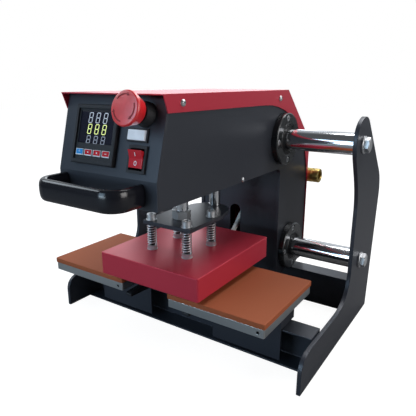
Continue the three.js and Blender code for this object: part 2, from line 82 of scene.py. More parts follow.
def mm_box(node):
    """Lowest and highest corner of a CAD node, in workshop millimetres."""
    low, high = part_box(node)
    return TO_WORKSHOP @ low, TO_WORKSHOP @ high


HEAD_X = sum(corner.x for corner in mm_box("head_cover")) / 2
HEAD_HALF = mm_box("head_cover")[1].x - HEAD_X
UPPER = sum(mm_box("upper_shaft"), Vector()) / 2
LOWER = sum(mm_box("lower_shaft"), Vector()) / 2

# The control panel's slope: its own X along the panel, Z up the slope and -Y straight out of it.
SLOPE_AXIS = Vector(next(j["axis"] for j in frame["joints"] if j["name"] == "stop_press"))
SLOPE_TILT = math.atan2(-SLOPE_AXIS.z, SLOPE_AXIS.y)
SLOPE_FOOT = 289
SLOPE = (Matrix.Translation((HEAD_X, mm_box("control_panel")[0].y, SLOPE_FOOT))
         @ Matrix.Rotation(-SLOPE_TILT, 4, "X"))
ALONG = {
    "X": Matrix.Rotation(math.pi / 2, 4, "Y"),
    "-X": Matrix.Rotation(-math.pi / 2, 4, "Y"),
    "Y": Matrix.Rotation(-math.pi / 2, 4, "X"),
    "-Y": Matrix.Rotation(math.pi / 2, 4, "X"),
    "Z": Matrix.Identity(4),
}
SIDES = (("left", -1), ("right", 1))


# ---------- settings ----------
def size(name, description, default):
    return FloatProperty(name=name, description=description, default=default, min=0, unit="LENGTH",
                         precision=4)


def power(name, description, default):
    return FloatProperty(name=name, description=description, default=default, min=0, subtype="POWER")


def amount(name, description, default):
    return FloatProperty(name=name, description=description, default=default, min=0)


def colour(name, description, default):
    return FloatVectorProperty(name=name, description=description, default=default, size=3, min=0, max=1,
                               subtype="COLOR")


class PressSizes(PropertyGroup):
    """Sizes a maker may want to change."""
    plate_edge: size("Plate edge", "Rounding on the edges of the painted plates", 0.0006)
    sheet_edge: size("Sheet edge", "Rounding on the edges of the thin cover", 0.0004)
    block_edge: size("Heated block edge", "Rounding on the edges of the heated platen", 0.0011)
    moulding_edge: size("Moulding edge", "Rounding on the edges of small mouldings", 0.0004)
    pad_edge: size("Pad edge", "Rounding on the edges of the silicone pads", 0.0009)
    spring_wire: size("Spring wire", "Thickness of the springs' wire", 0.0018)
    spring_turns: IntProperty(name="Spring turns", description="Turns in each spring", default=8, min=2)
    cover_screw: size("Cover screw", "Width of the button heads on the cover", 0.0085)
    flange_screw: size("Flange screw", "Width of the cap screws in the bearing flanges", 0.0095)
    digit_width: size("Digit width", "Width of one digit of the display", 0.0064)


class PressColours(PropertyGroup):
    """Colours of the paints, metals and mouldings."""
    black_paint: colour("Black paint", "Satin powder coat of the frame and head", (0.009, 0.011, 0.014))
    red_paint: colour("Red paint", "Powder coat of the cover and the heated platen", (0.72, 0.022, 0.038))
    chrome: colour("Chrome", "Ground and chromed shafts", (0.80, 0.81, 0.83))
    zinc: colour("Zinc", "Bright zinc on bolts and nuts", (0.74, 0.75, 0.76))
    steel: colour("Bearing steel", "Dark ground steel of the flanges", (0.105, 0.108, 0.112))
    aluminium: colour("Aluminium", "Sawn plates under the pads", (0.34, 0.35, 0.345))
    silicone: colour("Silicone", "Foam pads on the stations", (0.30, 0.052, 0.010))
    gloss_black: colour("Gloss black", "Moulded handle", (0.004, 0.004, 0.005))
    matte_black: colour("Matt black", "Small black mouldings", (0.009, 0.010, 0.012))
    red_plastic: colour("Red plastic", "Stop button, rocker and keys", (0.80, 0.012, 0.018))
    white_plastic: colour("White plastic", "Keys and printed marks", (0.80, 0.83, 0.86))
    blue_plastic: colour("Blue plastic", "First key", (0.03, 0.33, 0.75))
    window: colour("Window", "Dark window of the display", (0.006, 0.008, 0.016))
    brass: colour("Brass", "Air inlet", (0.84, 0.80, 0.52))
    cable: colour("Cable", "Woven sleeve of the heater cable", (0.78, 0.78, 0.75))


class StudioSettings(PropertyGroup):
    """Camera, lights and floor."""
    camera_place: FloatVectorProperty(name="Camera place", description="Where the camera stands",
                                      default=(0.399, -0.5545, 0.392), subtype="XYZ", unit="LENGTH")
    camera_aim: FloatVectorProperty(name="Camera aim", description="Direction the camera looks in",
                                    default=(-0.5361, 0.7990, -0.2723), subtype="DIRECTION")
    lens: FloatProperty(name="Lens", description="Focal length in millimetres", default=38.6, min=1)
    top_light: power("Top light", "Power of the soft light above and behind", 25)
    right_light: power("Right light", "Power of the soft light at the right", 15)
    left_light: power("Left light", "Power of the cool light in front", 22)
    back_light: power("Back light", "Power of the light behind the press, at the left", 9)
    window_light: power("Window light", "Power of the light high at the left", 9)
    strip_light: power("Strip light", "Power of the low strip in front of the press", 4)
    dim_side: amount("Dim side", "Room light from the operator's side", 0.1)
    bright_side: amount("Bright side", "Room light from behind, at the left", 0.7)
    floor: colour("Floor", "Pale studio floor", (0.2, 0.2, 0.2))
    floor_glow: amount("Floor glow", "How brightly the lit floor glows", 0.94)


# ---------- bench helpers ----------
def clear_bench():
    """Leaves edit mode and deselects everything."""
    if bpy.context.object and bpy.context.object.mode != "OBJECT":
        bpy.ops.object.mode_set(mode="OBJECT")
    bpy.ops.object.select_all(action="DESELECT")


def only(piece):
    """Selects this piece alone and makes it the active one."""
    clear_bench()
    piece.select_set(True)
    bpy.context.view_layer.objects.active = piece


def named(name):
    """Names the primitive that was just added, and takes its place into its mesh."""
    piece = bpy.context.object
    piece.name = piece.data.name = name
    bpy.ops.object.transform_apply(location=True, rotation=True, scale=True)
    return piece


def pick(kind, test):
    """In edit mode, selects the faces, edges or verts that pass the test, and nothing else."""
    bpy.ops.mesh.select_mode(type={"faces": "FACE", "edges": "EDGE", "verts": "VERT"}[kind])
    bpy.ops.mesh.select_all(action="DESELECT")
    mesh = bpy.context.edit_object.data
    form = bmesh.from_edit_mesh(mesh)
    for item in getattr(form, kind):
        if test(item):
            item.select_set(True)
    form.select_flush_mode()
    bmesh.update_edit_mesh(mesh)


def middle(edge):
    return (edge.verts[0].co + edge.verts[1].co) / 2


def close_shape():
    """In edit mode, merges doubles, drops stray edges and turns every face outwards."""
    bpy.ops.mesh.select_all(action="SELECT")
    bpy.ops.mesh.remove_doubles(threshold=0.002)
    bpy.ops.mesh.delete_loose(use_verts=True, use_edges=True, use_faces=False)
    bpy.ops.mesh.select_all(action="SELECT")
    bpy.ops.mesh.normals_make_consistent(inside=False)


def block(name, low, high):
    """A cube brought to two opposite corners."""
    clear_bench()
    low, high = Vector(low), Vector(high)
    bpy.ops.mesh.primitive_cube_add(size=1, location=(low + high) / 2, scale=high - low)
    return named(name)


def cylinder(name, centre, radius, low, high, along="Z", sides=48):
    """A cylinder from low to high along an axis through centre."""
    clear_bench()
    bpy.ops.mesh.primitive_cylinder_add(vertices=sides, radius=radius, depth=high - low,
                                        location=(0, 0, (low + high) / 2))
    return moved(named(name), Matrix.Translation(centre) @ ALONG[along])


def moved(piece, matrix):
    piece.data.transform(matrix)
    return piece


def turned(name, profile, centre=(0, 0, 0), along="Z", sides=64):
    """A ring of points (radius, height) spun into a turned piece and set along an axis."""
    clear_bench()
    bpy.ops.mesh.primitive_circle_add(vertices=len(profile), radius=1)
    piece = named(name)
    for point, (radius, height) in zip(piece.data.vertices, profile):
        point.co = (radius, 0, height)
    bpy.ops.object.mode_set(mode="EDIT")
    bpy.ops.mesh.select_all(action="SELECT")
    bpy.ops.mesh.spin(steps=sides, angle=2 * math.pi, center=(0, 0, 0), axis=(0, 0, 1))
    close_shape()
    bpy.ops.object.mode_set(mode="OBJECT")
    return moved(piece, Matrix.Translation(centre) @ ALONG[along])


def cut_out(name, outline, low, high):
    """A flat shape with its outline in X and Z, from low to high in Y."""
    clear_bench()
    bpy.ops.mesh.primitive_circle_add(vertices=len(outline), radius=1, fill_type="NGON")
    piece = named(name)
    for point, (x, z) in zip(piece.data.vertices, outline):
        point.co = (x, low, z)
    bpy.ops.object.mode_set(mode="EDIT")
    bpy.ops.mesh.select_all(action="SELECT")
    bpy.ops.mesh.extrude_region_move(TRANSFORM_OT_translate={"value": (0, high - low, 0)})
    close_shape()
    bpy.ops.object.mode_set(mode="OBJECT")
    return piece


def copy_of(node, name):
    """A copy of one CAD solid in workshop millimetres, its triangles merged and its flats joined."""
    clear_bench()
    mesh = frame["nodes"][node].data.copy()
    mesh.name = name
    piece = bpy.data.objects.new(name, mesh)
    bpy.context.collection.objects.link(piece)
    mesh.materials.clear()
    mesh.transform(TO_WORKSHOP)
    only(piece)
    bpy.ops.object.mode_set(mode="EDIT")
    bpy.ops.mesh.customdata_custom_splitnormals_clear()
    bpy.ops.mesh.select_all(action="SELECT")
    bpy.ops.mesh.remove_doubles(threshold=0.01)
    bpy.ops.mesh.dissolve_limited(angle_limit=math.radians(0.6))
    bpy.ops.object.mode_set(mode="OBJECT")
    return piece


def round_edges(piece, width, segments=2, sharp=30):
    """Rounds every edge sharper than the given angle."""
    only(piece)
    edge = piece.modifiers.new("edge", "BEVEL")
    edge.width, edge.segments, edge.limit_method = width, segments, "ANGLE"
    edge.angle_limit = math.radians(sharp)
    edge.use_clamp_overlap, edge.loop_slide = False, False
    bpy.ops.object.modifier_apply(modifier=edge.name)
    return piece


def carve(piece, tool, operation="DIFFERENCE"):
    """Cuts the piece with a tool, joins the tool to it or keeps what they share, and puts the tool away."""
    only(piece)
    cut = piece.modifiers.new("cut", "BOOLEAN")
    cut.operation, cut.object, cut.solver = operation, tool, "EXACT"
    bpy.ops.object.modifier_apply(modifier=cut.name)
    bpy.data.objects.remove(tool)
    return piece


def joined(name, *pieces):
    """Several shells in one piece."""
    only(pieces[0])
    for piece in pieces[1:]:
        piece.select_set(True)
    bpy.ops.object.join()
    pieces[0].name = pieces[0].data.name = name
    return pieces[0]


def twin(piece, name, matrix):
    """A copy with its own mesh, set in another place."""
    clear_bench()
    copy = piece.copy()
    copy.data = piece.data.copy()
    copy.name = copy.data.name = name
    bpy.context.collection.objects.link(copy)
    return moved(copy, matrix)


def settle(piece, body, finish, *nodes, smooth=32, ride=True):
    """Brings a finished piece to metres, shades and paints it, and lets it ride on its body."""
    only(piece)
    piece.data.transform(TO_METRES)
    bpy.ops.object.shade_smooth_by_angle(angle=math.radians(smooth))
    flat = piece.modifiers.new("flats", "WEIGHTED_NORMAL")
    flat.weight, flat.keep_sharp = 100, True
    bpy.ops.object.modifier_apply(modifier=flat.name)
    piece.data.materials.clear()
    piece.data.materials.append(bpy.data.materials[finish])
    if nodes:
        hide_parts(*nodes)
    if ride:
        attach(piece, body)
    return piece


def repaint(node, finish):
    """Gives a CAD node that stays its finish."""
    mesh = frame["nodes"][node].data
    mesh.materials.clear()
    mesh.materials.append(bpy.data.materials[finish])


def softened(node, name, body, finish, edge, segments=2, sharp=30):
    """A CAD solid of the right shape, given rounded edges and its finish."""
    return settle(round_edges(copy_of(node, name), edge, segments, sharp), body, finish, node)


def hexagon(name, flats, low, high, both=False):
    """A hexagonal bar along Z whose corners are chamfered at the top, or at both ends."""
    corner = flats / math.sqrt(3)
    bar = cylinder(name, (0, 0, 0), corner, low, high, sides=6)
    wide, fall = corner * 1.2, math.tan(math.radians(30))
    lean = (wide - flats * 0.48) * fall
    foot = [(0, low), (flats * 0.48, low), (wide, low + lean)] if both else [(0, low - 1), (wide, low - 1)]
    envelope = turned("chamfer", foot + [(wide, high - lean), (flats * 0.48, high), (0, high)], sides=48)
    return carve(bar, envelope, "INTERSECT")


def key_hole(radius, low, high):
    """The hexagonal tool that cuts a screw's socket."""
    return cylinder("key_hole", (0, 0, 0), radius, low, high, sides=6)


def cap_screw(name, head, height, socket):
    """A socket cap screw's head standing on Z = 0."""
    r = head / 2
    body = turned(name, [(0, -2), (r, -2), (r, height - 0.8), (r - 0.8, height), (0, height)], sides=32)
    return carve(body, key_hole(socket / math.sqrt(3), height * 0.45, height + 1))


def button_screw(name, head):
    """A low domed screw head standing on Z = 0, with a hexagonal socket."""
    r = head / 2
    dome = [(r * math.cos(a), 0.35 * head * math.sin(a)) for a in (0, 0.3, 0.6, 0.9, 1.2)]
    body = turned(name, [(0, -1), (r, -1), *dome, (0, 0.35 * head)], sides=32)
    return carve(body, key_hole(head * 0.3, 0.17 * head, head))


# ---------- finishes ----------
def mixed(name, first, second, *, patch, grain, rough, relief, stretch=(1, 1, 1), centre=(0, 0, 0),
          rings=0, **sockets):
    """One finish: two tones in patches, an uneven gloss and a fine relief, with patch and grain per metre."""
    material = bpy.data.materials.new(name)
    material.use_nodes = True
    nodes, links = material.node_tree.nodes, material.node_tree.links
    shader = nodes["Principled BSDF"]
    mapping = nodes.new("ShaderNodeMapping")
    mapping.inputs["Scale"].default_value = stretch
    mapping.inputs["Location"].default_value = [-c * s for c, s in zip(centre, stretch)]
    links.new(nodes.new("ShaderNodeTexCoord").outputs["Object"], mapping.inputs["Vector"])

    def noise(scale, detail):
        node = nodes.new("ShaderNodeTexNoise")
        node.inputs["Scale"].default_value = scale
        node.inputs["Detail"].default_value = detail
        links.new(mapping.outputs["Vector"], node.inputs["Vector"])
        return node.outputs["Fac"]

    ramp = nodes.new("ShaderNodeValToRGB")
    for element, position, tone in zip(ramp.color_ramp.elements, (0.35, 0.68), (first, second)):
        element.position, element.color = position, (*tone, 1)
    links.new(noise(patch, 5), ramp.inputs["Fac"])
    links.new(ramp.outputs["Color"], shader.inputs["Base Color"])

    gloss = nodes.new("ShaderNodeMapRange")
    gloss.inputs["From Min"].default_value, gloss.inputs["From Max"].default_value = 0.3, 0.7
    gloss.inputs["To Min"].default_value, gloss.inputs["To Max"].default_value = rough
    links.new(noise(grain / 5, 3), gloss.inputs["Value"])
    links.new(gloss.outputs["Result"], shader.inputs["Roughness"])

    bump = nodes.new("ShaderNodeBump")
    bump.inputs["Strength"].default_value = relief
    bump.inputs["Distance"].default_value = 0.0004
    if rings:
        wave = nodes.new("ShaderNodeTexWave")
        wave.wave_type, wave.rings_direction = "RINGS", "X"
        wave.inputs["Scale"].default_value = rings
        wave.inputs["Distortion"].default_value = 0.4
        links.new(mapping.outputs["Vector"], wave.inputs["Vector"])
        links.new(wave.outputs["Fac"], bump.inputs["Height"])
    else:
        links.new(noise(grain, 2), bump.inputs["Height"])
    links.new(bump.outputs["Normal"], shader.inputs["Normal"])
    for socket, value in sockets.items():
        shader.inputs[socket.replace("_", " ")].default_value = value
    return material


def tones(tone, darker, lighter=1):
    """Two shades of one colour, for the patches of a finish."""
    return [tuple(min(1, c * factor) for c in tone) for factor in (darker, lighter)]


class HEATPRESS_OT_finishes(Operator):
    """Mix the paints, metals, plastics and rubbers"""
    bl_idname = "heatpress.finishes"
    bl_label = "Finishes"
    digit_glow = {
        "upper_digits": ((0.52, 0.56, 0.62), 0.45),
        "middle_digits": ((0.72, 0.80, 0.28), 0.8),
        "lower_digits": ((0.30, 0.32, 0.38), 0.4),
    }

    def execute(self, context):
        colours = context.scene.press_colours
        self.paints_and_rubbers(colours)
        self.metals(colours)
        self.plastics(colours)
        self.display(colours)
        return {"FINISHED"}

    def paints_and_rubbers(self, c):
        mixed("black_powder_coat", *tones(c.black_paint, 0.86, 1.14), patch=60, grain=1500,
              rough=(0.42, 0.54), relief=0.10, Specular_IOR_Level=0.26)
        mixed("red_powder_coat", *tones(c.red_paint, 0.93, 1.06), patch=40, grain=1300,
              rough=(0.34, 0.44), relief=0.07, IOR=1.3)
        mixed("silicone_foam", *tones(c.silicone, 0.9, 1.08), patch=55, grain=1100,
              rough=(0.72, 0.9), relief=0.22, Specular_IOR_Level=0.15)
        mixed("cable_sleeve", *tones(c.cable, 0.8), patch=700, grain=1600, rough=(0.6, 0.8), relief=0.5)
        mixed("seal_rubber", *tones(c.matte_black, 0.7), patch=200, grain=1500,
              rough=(0.5, 0.65), relief=0.08)

    def metals(self, c):
        mixed("chromed_shaft", *tones(c.chrome, 0.96), patch=30, grain=1600,
              rough=(0.045, 0.085), relief=0.004, stretch=(1, 0.05, 0.05), Metallic=1)
        mixed("zinc_plate", *tones(c.zinc, 0.88, 1.05), patch=260, grain=1400,
              rough=(0.16, 0.32), relief=0.05, Metallic=1)
        for name, shaft in (("upper_bearing_steel", UPPER), ("lower_bearing_steel", LOWER)):
            mixed(name, *tones(c.steel, 0.85, 1.15), patch=40, grain=300,
                  rough=(0.24, 0.32), relief=0.03, centre=TO_METRES @ shaft, rings=160, Metallic=1)
        # Painted shade: the screw shanks inside the springs are the steel darkened to a quarter, so the gaps
        # between the coils read dark.
        mixed("dark_screw", *tones(c.steel, 0.25, 0.4), patch=70, grain=700,
              rough=(0.35, 0.5), relief=0.05, Metallic=0.8)
        mixed("cast_aluminium", *tones(c.aluminium, 0.62, 1.25), patch=190, grain=900,
              rough=(0.38, 0.6), relief=0.35, stretch=(1, 1, 0.22), Metallic=0.75)
        mixed("brass", *tones(c.brass, 0.85, 1.08), patch=120, grain=900,
              rough=(0.14, 0.26), relief=0.05, stretch=(1, 0.08, 0.08), Metallic=1)

    def plastics(self, c):
        mixed("gloss_black_plastic", *tones(c.gloss_black, 1, 1.5), patch=40, grain=260,
              rough=(0.07, 0.12), relief=0.012, Coat_Weight=0.35, Coat_Roughness=0.04)
        mixed("matte_black_plastic", *tones(c.matte_black, 1, 1.4), patch=120, grain=2200,
              rough=(0.38, 0.52), relief=0.10)
        mixed("red_plastic", *tones(c.red_plastic, 0.93, 1.05), patch=90, grain=900,
              rough=(0.3, 0.4), relief=0.03, IOR=1.15)
        mixed("stop_plastic", *tones(c.red_plastic, 0.9, 1.05), patch=90, grain=900,
              rough=(0.34, 0.42), relief=0.03, Specular_IOR_Level=0.9, Coat_Weight=0.6, Coat_Roughness=0.3)
        # Painted shade: the arrows are the button's own red darkened, standing in for the shadow in moulded
        # arrow grooves.
        mixed("arrow_red", *tones(c.red_plastic, 0.34, 0.42), patch=90, grain=900,
              rough=(0.4, 0.5), relief=0.03)
        mixed("white_plastic", *tones(c.white_plastic, 0.94), patch=90, grain=1500,
              rough=(0.3, 0.4), relief=0.03, IOR=1.2)
        mixed("white_print", *tones(c.white_plastic, 0.94), patch=300, grain=2500,
              rough=(0.4, 0.5), relief=0.02)
        mixed("blue_plastic", *tones(c.blue_plastic, 0.93, 1.05), patch=90, grain=1500,
              rough=(0.3, 0.4), relief=0.03, IOR=1.15)
        mixed("lens_white", *tones(c.white_plastic, 0.9), patch=120, grain=700,
              rough=(0.16, 0.24), relief=0.03, Coat_Weight=0.5,
              Emission_Color=(0.75, 0.82, 1, 1), Emission_Strength=0.12)

    def display(self, c):
        mixed("display_window", *tones(c.window, 1, 1.6), patch=25, grain=500,
              rough=(0.12, 0.18), relief=0.004, IOR=1.15)
        for name, (tone, strength) in self.digit_glow.items():
            mixed(name, *tones(tone, 0.7), patch=900, grain=2500, rough=(0.3, 0.4), relief=0.02,
                  Emission_Color=(*tone, 1), Emission_Strength=strength)


# ---------- frame ----------
class HEATPRESS_OT_frame_plates(Operator):
    """Build the two side plates, the channel rails and the station brackets"""
    bl_idname = "heatpress.frame_plates"
    bl_label = "Side plates, rails and brackets"

    def execute(self, context):
        edge = context.scene.press_sizes.plate_edge / MM
        for side, _ in SIDES:
            softened(f"{side}_side_plate", f"painted_{side}_side_plate", "frame", "black_powder_coat", edge)
            softened(f"{side}_bracket", f"painted_{side}_bracket", "frame", "black_powder_coat", edge)
        for rail in ("front_rail", "rear_rail"):
            softened(rail, f"painted_{rail}", "frame", "black_powder_coat", edge * 1.4)
        return {"FINISHED"}


class HEATPRESS_OT_shafts(Operator):
    """Turn the two chromed shafts that the head slides on"""
    bl_idname = "heatpress.shafts"
    bl_label = "Shafts"

    def execute(self, context):
        for name, centre in (("upper_shaft", UPPER), ("lower_shaft", LOWER)):
            low, high = mm_box(name)
            r, half = (high.z - low.z) / 2, (high.x - low.x) / 2
            settle(turned(f"chromed_{name}", [
                (0, -half), (r - 1.5, -half), (r - 0.4, -half + 0.5), (r, -half + 1.5), (r, half - 1.5),
                (r - 0.4, half - 0.5), (r - 1.5, half), (0, half)], centre, "X", sides=96),
                "frame", "chromed_shaft", name)
        return {"FINISHED"}


class HEATPRESS_OT_shaft_bolts(Operator):
    """Make the hexagon bolts that hold the shafts between the side plates"""
    bl_idname = "heatpress.shaft_bolts"
    bl_label = "Shaft bolts"
    washer, washer_t, flats, head, boss, shank, reach = 13, 2.5, 20, 7.5, 8.2, 6, 24
    turn = 0.35

    def bolt(self):
        w, t, s = self.washer, self.washer_t, self.shank
        top = t + self.head
        return joined(
            "bolt", hexagon("hex", self.flats, t - 0.4, top - 0.3),
            turned("boss", [(0, top - 1), (self.boss, top - 1), (self.boss, top - 0.2),
                            (self.boss - 0.3, top), (0, top)]),
            turned("washer", [(0, 0), (w - 0.3, 0), (w, 0.3), (w, t - 0.5), (w - 0.5, t), (0, t)]),
            turned("shank", [(0, -self.reach), (s - 1, -self.reach), (s, 1 - self.reach), (s, 0.5), (0, 0.5)],
                   sides=32))

    def execute(self, context):
        bolt = self.bolt()
        stand = self.washer_t + self.head
        for side, sign in SIDES:
            for level, centre in (("upper", UPPER), ("lower", LOWER)):
                node = f"{level}_shaft_bolt_{side}"
                low, high = mm_box(node)
                face = high.x - stand if sign > 0 else low.x + stand
                place = Matrix.Translation((face, centre.y, centre.z)) @ ALONG["X" if sign > 0 else "-X"]
                settle(twin(bolt, f"hex_bolt_{level}_{side}", place @ Matrix.Rotation(self.turn, 4, "Z")),
                       "frame", "zinc_plate", node)
        bpy.data.objects.remove(bolt)
        return {"FINISHED"}


class HEATPRESS_OT_lower_platens(Operator):
    """Finish the aluminium plates under the pads"""
    bl_idname = "heatpress.lower_platens"
    bl_label = "Lower platens"
    edge = 0.5

    def execute(self, context):
        for side, _ in SIDES:
            softened(f"{side}_lower_platen", f"sawn_{side}_platen", "frame", "cast_aluminium", self.edge)
        return {"FINISHED"}


class HEATPRESS_OT_silicone_pads(Operator):
    """Shape the soft silicone pads with rounded edges and a slight crown"""
    bl_idname = "heatpress.silicone_pads"
    bl_label = "Silicone pads"
    corner, band, crown = 2.2, 9, 0.12

    def execute(self, context):
        edge = context.scene.press_sizes.pad_edge / MM
        for side, _ in SIDES:
            low, high = mm_box(f"{side}_silicone_pad")
            pad = block(f"{side}_foam_pad", low, high - Vector((0, 0, self.crown)))
            bpy.ops.object.mode_set(mode="EDIT")
            pick("faces", lambda f: f.normal.z > 0.99)
            bpy.ops.mesh.inset(thickness=self.band)
            bpy.ops.transform.translate(value=(0, 0, self.crown))
            bpy.ops.mesh.inset(thickness=self.band)
            pick("edges", lambda e: abs(e.verts[0].co.z - e.verts[1].co.z) > 1)
            bpy.ops.mesh.bevel(offset=self.corner, segments=4, affect="EDGES")
            pick("edges", lambda e: len(e.link_faces) == 2 and e.calc_face_angle() > 1)
            bpy.ops.mesh.bevel(offset=edge, segments=3, affect="EDGES")
            bpy.ops.object.mode_set(mode="OBJECT")
            settle(pad, "frame", "silicone_foam", f"{side}_silicone_pad", smooth=50)
        return {"FINISHED"}


class HEATPRESS_OT_lock_levers(Operator):
    """Round off the lock levers beside the brackets"""
    bl_idname = "heatpress.lock_levers"
    bl_label = "Lock levers"
    edge = 1.2

    def execute(self, context):
        for side, _ in SIDES:
            softened(f"{side}_lock_lever", f"moulded_{side}_lever", f"{side}_lever", "matte_black_plastic",
                     self.edge, 3)
        return {"FINISHED"}


# ---------- head ----------
class HEATPRESS_OT_head_plates(Operator):
    """Build the head's side plates, column plate and cylinder mount"""
    bl_idname = "heatpress.head_plates"
    bl_label = "Head plates"

    def execute(self, context):
        edge = context.scene.press_sizes.plate_edge / MM
        for node in ("head_left_plate", "head_right_plate", "column_front_plate", "cylinder_mount_plate"):
            softened(node, f"painted_{node}", "head", "black_powder_coat", edge)
        repaint("control_panel", "black_powder_coat")
        repaint("air_cylinder", "cast_aluminium")
        repaint("guide_bush", "zinc_plate")
        return {"FINISHED"}


class HEATPRESS_OT_head_cover(Operator):
    """Build the red cover and its screws"""
    bl_idname = "heatpress.head_cover"
    bl_label = "Cover"
    # Each pair of screws: Y and Z of its middle, and its size against the front pair's.
    screws = {"front": (-74.4, 369.8, 1.0), "rear": (173.7, 367.4, 1.0), "mount": (65, 259.6, 0.78)}

    def execute(self, context):
        sizes = context.scene.press_sizes
        softened("head_cover", "red_cover", "head", "red_powder_coat", sizes.sheet_edge / MM)
        screw = button_screw("screw", sizes.cover_screw / MM)
        plate_half = mm_box("head_right_plate")[1].x - HEAD_X
        for place, (y, z, scale) in self.screws.items():
            half = plate_half if place == "mount" else HEAD_HALF
            for side, sign in SIDES:
                at = Matrix.Translation((HEAD_X + sign * half, y, z)) @ ALONG["X" if sign > 0 else "-X"]
                settle(twin(screw, f"cover_screw_{place}_{side}", at @ Matrix.Scale(scale, 4)),
                       "head", "zinc_plate")
        bpy.data.objects.remove(screw)
        return {"FINISHED"}


class HEATPRESS_OT_bearings(Operator):
    """Turn the flanged bearings, with their seals and screws"""
    bl_idname = "heatpress.bearings"
    bl_label = "Bearings"
    face, bolt_circle, bore, body, groove = 10, 33, 17, 26, 23.2
    screw_turn = 0.06

    def flange(self, radius, inner):
        r, face, body, groove = radius, self.face, self.body, self.groove
        return turned("flange", [
            (self.bore, -inner), (body - 0.6, -inner), (body, 0.6 - inner), (body, 0), (r - 0.6, 0),
            (r, 0.6), (r, face - 1.6), (r - 0.3, face - 1.2), (r - 1.2, face - 0.3), (r - 1.6, face),
            (body + 0.6, face), (body, face - 0.5), (groove + 1.4, face - 0.5), (groove + 1, face - 0.1),
            (groove + 0.4, face - 0.1), (groove, face - 2), (self.bore, face - 2)], sides=96)

    def seal(self):
        face, lip, rim = self.face, self.bore - 0.38, self.groove - 0.3
        return turned("seal", [
            (lip, face - 4), (rim, face - 4), (rim, face - 0.9), (rim - 0.7, face - 0.4),
            (20.6, face - 0.4), (20.2, face - 1), (18.2, face - 1), (17.6, face - 0.3),
            (lip + 0.28, face - 0.3), (lip, face - 0.8)], sides=96)

    def on_circle(self, piece, name):
        """Four copies of a tool or screw, spaced round the flange."""
        spot = Matrix.Translation((self.bolt_circle, 0, 0))
        ring = joined(name, *[twin(piece, f"{name}_copy", Matrix.Rotation(i * math.pi / 2, 4, "Z") @ spot)
                              for i in range(4)])
        bpy.data.objects.remove(piece)
        return ring

    def execute(self, context):
        face, screw_head = self.face, context.scene.press_sizes.flange_screw / MM
        low, high = mm_box("upper_bearing_right")
        flange = self.flange((high.z - low.z) / 2, high.x - low.x - face)
        well = cylinder("well", (0, 0, 0), screw_head / 2 + 0.9, face - 4.5, face + 2, sides=32)
        flange = carve(flange, self.on_circle(well, "wells"))
        seal = self.seal()
        screw = cap_screw("screw", screw_head, 4.6, screw_head * 0.5)
        screws = self.on_circle(moved(screw, Matrix.Translation((0, 0, face - 4.9))), "screws")
        for side, sign in SIDES:
            along = ALONG["X" if sign > 0 else "-X"] @ Matrix.Rotation(self.screw_turn, 4, "Z")
            for level, centre in (("upper", UPPER), ("lower", LOWER)):
                node = f"{level}_bearing_{side}"
                low, high = mm_box(node)
                seat = high.x - face if sign > 0 else low.x + face
                place = Matrix.Translation((seat, centre.y, centre.z)) @ along
                settle(twin(flange, f"{level}_flange_{side}", place), "head", f"{level}_bearing_steel", node)
                settle(twin(seal, f"{level}_seal_{side}", place), "head", "seal_rubber")
                settle(twin(screws, f"{level}_flange_screws_{side}", place), "head", "zinc_plate")
        for tool in (flange, seal, screws):
            bpy.data.objects.remove(tool)
        return {"FINISHED"}


class HEATPRESS_OT_air_inlet(Operator):
    """Turn the hollow brass air inlet on its boss"""
    bl_idname = "heatpress.air_inlet"
    bl_label = "Air inlet"
    bore, deep, boss = 8, 12, 7

    def execute(self, context):
        low, high = mm_box("air_inlet")
        r, long = (high.z - low.z) / 2, high.x - low.x
        y, z = high.y - r, (low.z + high.z) / 2
        barrel = turned("turned_air_inlet", [
            (0, 0), (r - 2, 0), (r - 1.2, 0.6), (r - 1.2, 5), (r - 0.2, 5.6), (r, 6.2), (r, long - 13),
            (r - 0.9, long - 12.4), (r - 0.9, long - 10.6), (r, long - 10), (r, long - 1.4),
            (r - 0.6, long - 0.4), (r - 1.6, long), (self.bore + 1.2, long), (self.bore, long - 1.2),
            (self.bore, long - self.deep), (0, long - self.deep)], (low.x, y, z), "X")
        neck = turned("neck", [(0, 0), (self.boss + 1.5, 0), (self.boss + 1.5, 1), (self.boss, 1.6),
                               (self.boss, y - low.y), (0, y - low.y)], (low.x + 12, low.y, z), "Y", sides=48)
        settle(carve(barrel, neck, "UNION"), "head", "brass", "air_inlet")
        return {"FINISHED"}


class HEATPRESS_OT_handle(Operator):
    """Sweep the moulded handle round its two bends"""
    bl_idname = "heatpress.handle"
    bl_label = "Handle"
    thick, corner, points, squareness = 12, 24, 36, 2.7

    def execute(self, context):
        low, high = mm_box("handle")
        half_tall, half_thick = (high.z - low.z) / 2, self.thick / 2
        middle_z, arm_x = (low.z + high.z) / 2, high.x - half_thick

        def squared(value, size):
            return size * math.copysign(abs(value) ** (2 / self.squareness), value)
        clear_bench()
        bpy.ops.mesh.primitive_circle_add(vertices=self.points, radius=1, fill_type="NGON")
        piece = named("moulded_handle")
        for i, point in enumerate(piece.data.vertices):
            a = 2 * math.pi * i / self.points
            point.co = (arm_x + squared(math.cos(a), half_thick), high.y,
                        middle_z + squared(math.sin(a), half_tall))
        bpy.ops.object.mode_set(mode="EDIT")
        bpy.ops.mesh.select_mode(type="FACE")
        bpy.ops.mesh.select_all(action="SELECT")
        bend_y = low.y + self.corner
        self.draw_out((0, bend_y - high.y, 0))
        self.bend((high.x - self.corner, bend_y, 0))
        self.draw_out((low.x - high.x + 2 * self.corner, 0, 0))
        self.bend((low.x + self.corner, bend_y, 0))
        self.draw_out((0, high.y - bend_y, 0))
        close_shape()
        bpy.ops.object.mode_set(mode="OBJECT")
        settle(piece, "head", "gloss_black_plastic", "handle", smooth=50)
        return {"FINISHED"}

    def draw_out(self, value):
        bpy.ops.mesh.extrude_region_move(TRANSFORM_OT_translate={"value": value})

    def bend(self, centre):
        bpy.ops.mesh.spin(steps=12, angle=math.pi / 2, center=centre, axis=(0, 0, 1))


